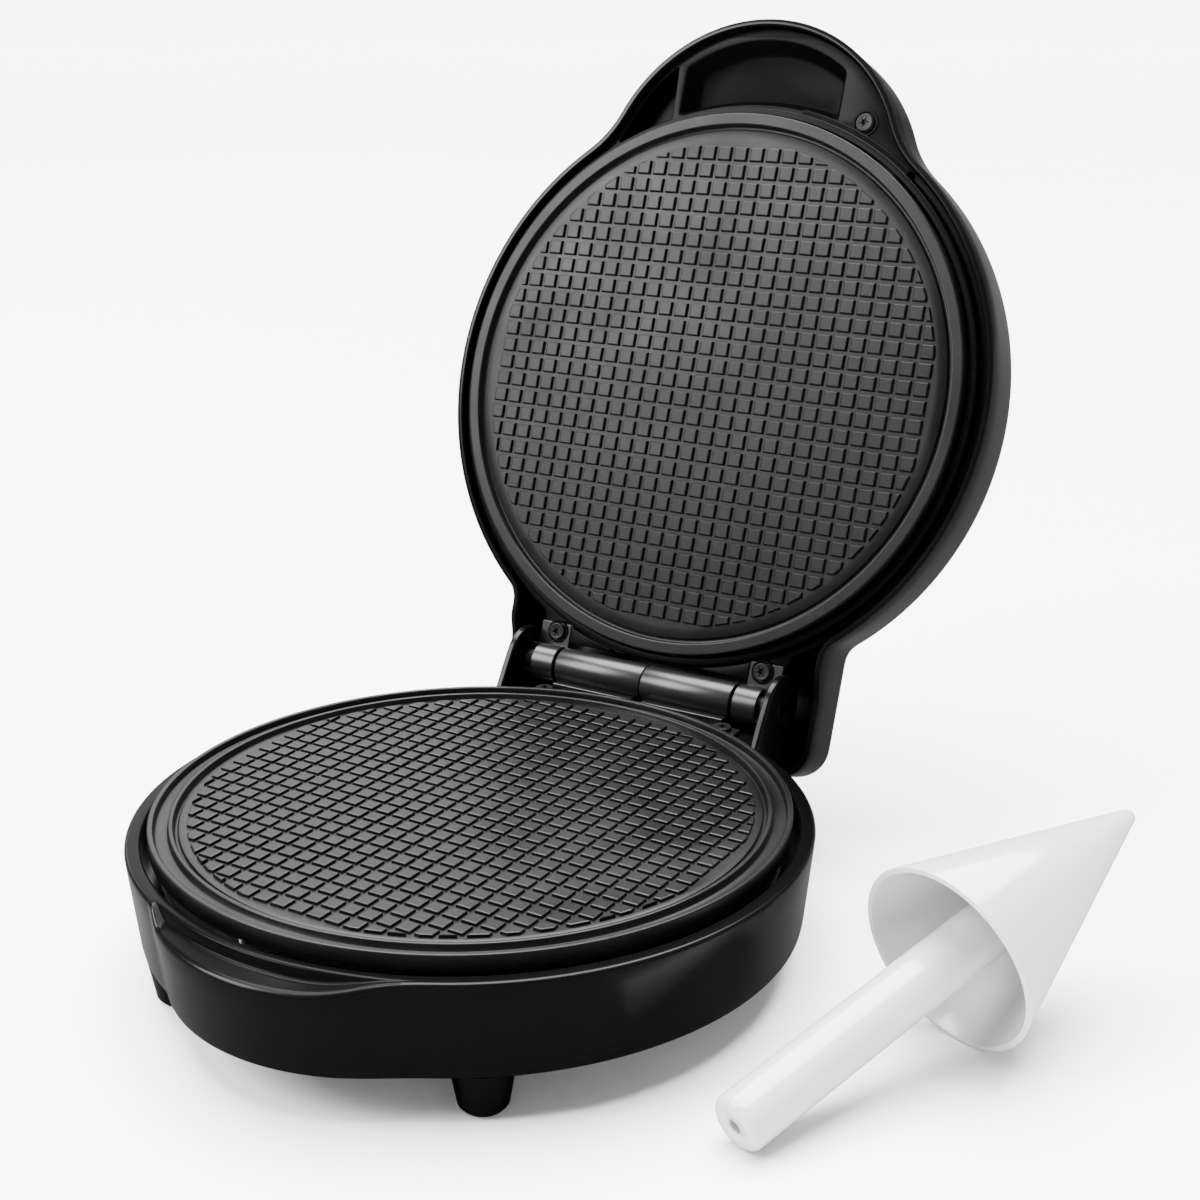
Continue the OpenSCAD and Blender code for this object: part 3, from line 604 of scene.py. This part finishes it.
def rounded(pts, r):
    """Rounds the corners of a polygon."""
    out = []
    k = len(pts)
    for i in range(k):
        p0, p1, p2 = (Vector(pts[i - 1]), Vector(pts[i]), Vector(pts[(i + 1) % k]))
        a, b = (p0 - p1), (p2 - p1)
        ang = a.angle(b)
        if ang > math.radians(150):
            out.append(tuple(p1))
            continue
        t = min(r / math.tan(ang / 2), a.length * 0.45, b.length * 0.45)
        s, e = p1 + a.normalized() * t, p1 + b.normalized() * t
        for q in range(6):
            u = q / 5
            out.append(tuple(s * (1 - u) ** 2 + p1 * 2 * u * (1 - u) + e * u * u))
    return out


def pocket_loop(d):
    """Mouth of the finger pocket, inset by d."""
    x = POCKET_X - d
    rt, rb = POCKET_Y1 + TY - d, POCKET_Y0 + d
    top = [(rt * sin(t), TY - rt * cos(t)) for t in
           [(-1 + 2 * i / 16) * math.asin(x / rt) for i in range(17)]]
    low = [(rb * sin(t), -rb * cos(t)) for t in
           [(1 - 2 * i / 16) * math.asin(x / rb) for i in range(17)]]
    return rounded(top + low, 4.0)


def side_loop(d):
    """Sunk corner left of the pocket."""
    rb = POCKET_Y0 + d
    low = [(-rb * sin(t), -rb * cos(t)) for t in
           [math.asin((SIDE_X + d) / rb) + i * 0.02 for i in range(0, 40)]]
    outer = [(x, y) for x, y in outline_plain(WALL + 1.9 + d) if x < -SIDE_X - d and y < -60]
    outer.sort(key=lambda p: p[1])
    keep = []
    for p in low:
        near = min(math.hypot(p[0] - q[0], p[1] - q[1]) for q in outer)
        keep.append(p)
        if near < 2.2:
            break
    end = keep[-1]
    outer = [q for q in outer if q[1] < end[1] - 0.5]
    return rounded(keep[::-1] + outer, 1.5)


TAB_X = EAR_X - 0.8
outer = outline_plain(WALL + 0.3)
tab = [(TAB_X, 97.0), (TAB_X, 104.4), (-TAB_X, 104.4), (-TAB_X, 97.0)]
right = [p for p in outer if not (abs(p[0]) < TAB_X + 0.3 and p[1] > 0)]
cut = next(i for i, p in enumerate(right) if p[0] < 0 and p[1] > 80)
loop = right[:cut] + tab + right[cut:]
panel("liner_panel", [loop, ring(TRIM + 2.9, 240)[::-1], pocket_loop(0)[::-1], side_loop(0)[::-1]],
      LINER_Z, LINER_Z + 2.0, M_LINER, "lid", "shell_plastic", LID_M, edge=0.35,
      replaces=["lid_liner"])


def dish(name, levels, z_back):
    """A sunk tray: loops from the mouth to the floor, closed at the back."""
    verts, faces = [], []
    k = len(levels[0][0])
    rows = levels + [(levels[0][0], z_back)]
    for pts, z in rows:
        verts += [(x, y, z) for x, y in pts]
    for a in range(len(levels) - 1):
        for i in range(k):
            j = (i + 1) % k
            faces.append((a * k + i, a * k + j, (a + 1) * k + j, (a + 1) * k + i))
    b, c = (len(levels) - 1) * k, len(levels) * k
    faces.append(tuple(range(b, b + k)))
    faces.append(tuple(range(c, c + k)))
    faces += [(i, (i + 1) % k, c + (i + 1) % k, c + i) for i in range(k)]
    add(name, verts, faces, M_POCKET_SHADED, "lid", "shell_plastic", m=LID_M, angle=40)


def tray(loop, depth, slope):
    """Loops of a tray with sloped walls, for dish()."""
    rows = [(loop(-0.5), LINER_Z + 0.05), (loop(0.0), LINER_Z + 0.12), (loop(0.25), LINER_Z + 0.5)]
    rows += [(loop(slope * 0.85), LINER_Z + depth - 0.9), (loop(slope), LINER_Z + depth - 0.25),
             (loop(slope + 0.7), LINER_Z + depth)]
    return rows


dish("pocket", tray(pocket_loop, POCKET_D, 3.4), LINER_Z + POCKET_D + 2.0)
panel("side_wall", [side_loop(-1.4), side_loop(0)[::-1]], LINER_Z + 0.6, LINER_Z + SIDE_D,
      M_LINER, "lid", "shell_plastic", LID_M, edge=0.3)
panel("side_floor", [side_loop(-1.3)], LINER_Z + SIDE_D, LINER_Z + SIDE_D + 1.6,
      M_LINER, "lid", "shell_plastic", LID_M, edge=0.2)

trim = ([(TRIM, LID_Z0 + 12), (TRIM, LID_Z0 - 0.2)] + arc(TRIM + 0.5, LID_Z0 - 0.1, 0.5, 180, 270, 4)
        + arc(TRIM + 2.2, LID_Z0 + 0.0, 0.6, 270, 360, 4) + [(TRIM + 2.8, LID_Z0 + 12)])
add("liner_ring", *lathe(trim, 256, closed=True), M_LINER, "lid", "shell_plastic", m=LID_M)
step = [(TRIM + 2.6, LINER_Z + 0.4), (TRIM + 2.6, LID_Z0 + 0.1), (TRIM + 2.8, LID_Z0 - 0.1),
        (TRIM + 4.6, LID_Z0 + 0.3), (TRIM + 4.9, LID_Z0 + 0.7), (TRIM + 4.9, LINER_Z + 0.4)]
add("liner_ring_step", *lathe(step, 40, closed=True, a0=-79, a1=-52), M_LINER, "lid", "shell_plastic",
    m=LID_M, bevel=0.2)


# ------------------------------------------------------------------ hinge
def tube(r_in, r_out, length, c=0.4):
    """Half section of a tube with ends softened by c."""
    return [(r_in, 0.0), (r_out - c, 0.0), (r_out - c * 0.3, c * 0.3), (r_out, c),
            (r_out, length - c), (r_out - c * 0.3, length - c * 0.3), (r_out - c, length),
            (r_in, length)]


def barrel(name, node, flip_x):
    """One fixed half of the centre barrel, with its web and screwed strip."""
    x0, x1 = BARREL
    t = moved(lathe(tube(BORE_R, BARREL_R, x1 - x0), 96, closed=True), about_x(x0))
    web = box(x0 + 2, x1 - 1, 103.5, HY, BASE_Z1, BASE_Z1 + 4.2)
    strip = box(x0 + 8, BASE_SCREW_X + 5.5, SCREW_Y - 2.4, SCREW_Y + 3.8, BASE_Z1, BASE_Z1 + STRIP_T)
    for tag, p, r in (("", t, [node]), ("_web", web, ()), ("_strip", strip, ())):
        add(name + tag, *(mirror(p) if flip_x else p), M_HINGE, "base", "shell_plastic",
            bevel=0.0 if tag == "" else 0.35, replaces=r)


barrel("barrel_right", "base_barrel_right", False)
barrel("barrel_left", "base_barrel_left", True)


def sector(r0, r1, l0, l1, a0, a1, n=48):
    """Part of a tube between two angles (degrees from +Y towards +Z)."""
    prof = [(r0, l0), (r1 - 0.25, l0), (r1, l0 + 0.25), (r1, l1 - 0.25), (r1 - 0.25, l1), (r0, l1)]
    v, f = lathe(prof, n, closed=True, a0=a0, a1=a1)
    return [(z, HY + x, HZ + y) for x, y, z in v], f


def knuckle(tag, flip_x):
    """Turning knuckle: full tube, then a notched end that runs over the ear's lug."""
    a_start = 90.0 + OPEN
    a_end = a_start + OPEN + 13.0
    parts = [sector(BORE_R, BARREL_R, K0, K1 - NOTCH, 0, 360, 96),
             sector(BORE_R, 4.4, K1 - NOTCH - 0.3, K1, 0, 360, 96),
             sector(4.3, BARREL_R, K1 - NOTCH - 0.3, K1, a_end - 360, a_start, 64)]
    arm = box(K0 + 0.1, K1 - 0.1, 97.2, HY - 2, TAB_Z, LINER_Z)
    for t, p, b, r in (("", join(*parts), 0.0, ["lid_knuckle_" + tag]), ("_arm", arm, 0.4, ())):
        add("knuckle_" + tag + t, *(mirror(p) if flip_x else p), M_HINGE, "lid", "shell_plastic",
            m=LID_M, bevel=b, replaces=r)


knuckle("right", False)
knuckle("left", True)


def corner():
    """Raised corner of the liner beside a knuckle arm, up to the trim ring."""
    r0 = TRIM + 3.6
    inner = [(x, math.sqrt(r0 * r0 - x * x)) for x in [20 + 0.9 * i for i in range(20)]]
    return inner + [(K0, 97.4), (K0, 104.3), (20.0, 104.3)]


for sx, tag in ((1, "right"), (-1, "left")):
    pts = [(sx * x, y) for x, y in corner()][::sx]
    panel("liner_corner_" + tag, [pts], TAB_Z, LINER_Z, M_LINER, "lid", "shell_plastic",
          LID_M, edge=0.25)
lug = sector(4.8, 6.6, K1 - NOTCH + 0.4, EAR_X + 0.1, 90 + OPEN + 0.5, 90 + OPEN + 12.5, 8)
add("stop_lug_right", *lug, M_SHELL, "base", "shell_plastic")
add("stop_lug_left", *mirror(lug), M_SHELL, "base", "shell_plastic")
pin = EAR_X + EAR_T
pin = [(0, -pin), (2.2, -pin), (2.5, -pin + 0.3), (2.5, pin - 0.3), (2.2, pin), (0, pin)]
add("pin_rod", *moved(lathe(pin, 64), about_x(0)), M_STEEL, "base", "zinc_steel",
    replaces=["hinge_pin"])


# ------------------------------------------------------------------ screws
def star(r0, r1, n=6):
    """Outline of a recess with n lobes."""
    return [((r1 if i % 2 else r0) * cos(pi * i / n), (r1 if i % 2 else r0) * sin(pi * i / n))
            for i in range(2 * n)]


def screw(name, x, y, z, down, body, m, node):
    """Head on the surface z, facing -Z if down, with a star recess."""
    r, h = 3.3, 1.6
    s = -1.0 if down else 1.0
    rot = Matrix.Rotation(0.3, 4, "Z")
    place = Matrix.Translation((x, y, z)) @ Matrix.Scale(s, 4, (0, 0, 1)) @ rot
    head = lathe([(2.25, h - 0.02), (2.3, h)] + [(r - 0.5, h)]
                 + arc(r - 0.45, h - 0.45, 0.45, 90, 0, 4) + [(r, 0.0), (0, 0)], 72)
    # recess floor and the star's lobes
    pts = star(0.85, 2.1)
    k = len(pts)
    v = [(px, py, h - 0.02) for px, py in pts] + [(px * 0.9, py * 0.9, h - 1.4) for px, py in pts]
    f = [(i, (i + 1) % k, (i + 1) % k + k, i + k) for i in range(k)] + [tuple(range(k, 2 * k))]
    o = len(v)
    v += [(px, py, h) for px, py in ring(2.28, k)]
    f += [(i, (i + 1) % k, (i + 1) % k + o, i + o) for i in range(k)]
    add(name, *moved(join(head, (v, f)), place), M_SCREW, body, "black_screw", m=m,
        replaces=node, angle=30)


strip_top = BASE_Z1 + STRIP_T
screw("grip_screw_head", *GRIP_SCREW, LINER_Z, True, "lid", LID_M, ["grip_screw"])
screw("lid_screw_right", LID_SCREW_X, SCREW_Y, TAB_Z, True, "lid", LID_M, ["lid_hinge_screws"])
screw("lid_screw_left", -LID_SCREW_X, SCREW_Y, TAB_Z, True, "lid", LID_M, ())
screw("base_screw_right", BASE_SCREW_X, SCREW_Y, strip_top, False, "base", BASE_M,
      ["base_hinge_screws"])
screw("base_screw_left", -BASE_SCREW_X, SCREW_Y, strip_top, False, "base", BASE_M, ())
for tag, x, y, z in (("grip", *GRIP_SCREW, LINER_Z), ("right", LID_SCREW_X, SCREW_Y, TAB_Z),
                     ("left", -LID_SCREW_X, SCREW_Y, TAB_Z)):
    k = 1.0 if tag == "grip" else 0.9
    washer = [(4.0 * k, 0.4), (4.0 * k, -0.25), (4.25 * k, -0.5), (4.7 * k, -0.5), (4.95 * k, -0.25),
              (4.95 * k, 0.4)]
    add("screw_ring_" + tag, *moved(lathe(washer, 72, closed=True), Matrix.Translation((x, y, z))),
        M_LINER, "lid", "shell_plastic", m=LID_M)

# ------------------------------------------------------------------ cone roller
tilt = math.atan2(CONE_R - HAND_R, HAND_L)    # it lies on the cone's rim and the handle's end
ROLL_M = (MM @ SHIFT @ Matrix.Translation((*ROLL_AT, CONE_R * cos(tilt)))
          @ Matrix.Rotation(math.radians(ROLL_TURN), 4, "Z")
          @ Matrix.Rotation(pi / 2 - tilt, 4, "Y"))
lip_r = CONE_R - CONE_W
cone = [(lip_r + 0.2, 0.0), (CONE_R - 0.4, 0.0), (CONE_R - 0.1, 0.12), (CONE_R, 0.45)]
cone += arc(0, CONE_L - 2.7, 2.7, 20, 90, 8)
cone += [(0.0, CONE_L - 8), (1.2, CONE_L - 9.0), (lip_r, 0.45), (lip_r + 0.12, 0.12)]
add("cone_body", *lathe(cone, 192, closed=True), M_WHITE, "cone_roller", "roller_white", m=ROLL_M,
    replaces=["roller_cone"], angle=50)
hand = [(0.0, -HAND_L + 26), (2.3, -HAND_L + 26), (2.3, -HAND_L + 0.4), (2.7, -HAND_L)]
hand += arc(HAND_R - 2.6, -HAND_L + 2.6, 2.6, -90, 0, 8)
hand += [(HAND_R, 30.0), (HAND_R - 0.4, 62.0), (0, 62.0)]
add("handle_rod", *lathe(hand, 128), M_WHITE, "cone_roller", "roller_white",
    m=ROLL_M, replaces=["roller_handle"], angle=50)

# A grey-beige plug a few mm inside the handle's end hole: painted shade for the depth of the hole.
bore = [(0.0, -HAND_L + 3.4), (2.25, -HAND_L + 3.4), (2.25, -HAND_L + 0.6), (2.4, -HAND_L + 0.6),
        (2.4, -HAND_L + 4.0), (0.0, -HAND_L + 4.0)]
add("handle_bore", *lathe(bore, 64), M_BORE_SHADE, "cone_roller", "roller_white", m=ROLL_M)

# ------------------------------------------------------------------ carried-over nodes
KEEP = {"bottom_cover": M_SHELL, "cord_bushing": M_RUBBER, "cover_screws": M_STEEL,
        "lower_plate_screws": M_STEEL, "upper_plate_screws": M_STEEL, "lower_reflector": M_STEEL,
        "upper_reflector": M_STEEL, "lower_element": M_STEEL, "upper_element": M_STEEL,
        "thermostat": M_ALU, "thermal_fuse": M_ALU, "terminal_block": M_CREAM}
for node, mat in KEEP.items():
    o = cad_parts[node]
    for s in o.material_slots:
        s.material = mat

# ------------------------------------------------------------------ stage, light, camera
def stage_floor(name, z, shade):
    """A round floor at height z that curves up far away, in metres."""
    v, f = lathe([(0.0, z), (1.0, z), (7.0, z), (8.5, 0.1 + z), (9.7, 0.4), (10.6, 0.9),
                  (11.2, 1.6), (11.5, 2.6)], 96)
    me = bpy.data.meshes.new(name)
    me.from_pydata(v, [], f)
    me.materials.append(material(name + "_paper", (shade, shade, shade), 0.7, bump=0.01, scale=300,
                                 vary=0.01, smudge=3, rough_vary=0.02))
    o = bpy.data.objects.new(name, me)
    bpy.context.scene.collection.objects.link(o)
    return o


# The white floor is lit and seen; a darker twin stands in for it in reflections.
floor = stage_floor("floor", 0.0, 0.9)
floor.visible_glossy = False
mirrored = stage_floor("floor_in_gloss", 0.0003, 0.045)
mirrored.visible_camera = mirrored.visible_diffuse = mirrored.visible_shadow = False

world = bpy.data.worlds.new("studio")
bpy.context.scene.world = world
world.use_nodes = True
world.node_tree.nodes["Background"].inputs[0].default_value = (1, 1, 1, 1)
world.node_tree.nodes["Background"].inputs[1].default_value = 0.33

# The camera was fitted to the photograph: its direction and distance from the middle of the
# base's top, its focal length, and where that point lies, in pixels of a 1200 pixel picture.
AZ, EL, DIST, FPX = math.radians(31.2), math.radians(18.05), 0.5959, 1842.9
OFF_X, OFF_Y, PICTURE, SENSOR = 126.2, 212.0, 1200, 36
fw = Vector((-sin(AZ) * cos(EL), cos(AZ) * cos(EL), -sin(EL)))
right_v = Vector((cos(AZ), sin(AZ), 0))
up_v = right_v.cross(fw)
p0 = BASE_M @ Vector((0, 0, BASE_Z1))
cam_at = p0 - fw * DIST + right_v * (OFF_X * DIST / FPX) + up_v * (OFF_Y * DIST / FPX)


def light(name, where, size, power, aim=(0, 0, 0.08), size_y=None):
    d = bpy.data.lights.new(name, "AREA")
    d.shape = "RECTANGLE"
    d.size, d.size_y, d.energy = size, size_y or size, power
    o = bpy.data.objects.new(name, d)
    o.location = where
    o.rotation_mode = "QUATERNION"
    o.rotation_quaternion = (Vector(aim) - Vector(where)).to_track_quat("-Z", "Y")
    o.visible_camera = False
    bpy.context.scene.collection.objects.link(o)
    return o


sun = bpy.data.lights.new("overhead", "SUN")
sun.energy, sun.angle = 26.0, math.radians(60)
sun_o = bpy.data.objects.new("overhead", sun)
sun_o.rotation_euler = (math.radians(-14), math.radians(-10), 0)
bpy.context.scene.collection.objects.link(sun_o)
light("back_left", (-2.3, 1.6, 1.3), 2.1, 24.0, size_y=1.1)
light("front_left", (-1.1, -1.0, 1.15), 0.9, 85.0, aim=(0, 0.1, 0.15))
light("right", (1.5, 0.1, 0.8), 1.0, 1.2)

cam = bpy.data.cameras.new("camera")
cam.sensor_width = SENSOR
cam.lens = SENSOR * FPX / PICTURE
cam_o = bpy.data.objects.new("camera", cam)
cam_o.location = cam_at
cam_o.rotation_mode = "QUATERNION"
cam_o.rotation_quaternion = fw.to_track_quat("-Z", "Y")
cam.clip_start, cam.clip_end = 0.05, 50
bpy.context.scene.collection.objects.link(cam_o)
bpy.context.scene.camera = cam_o
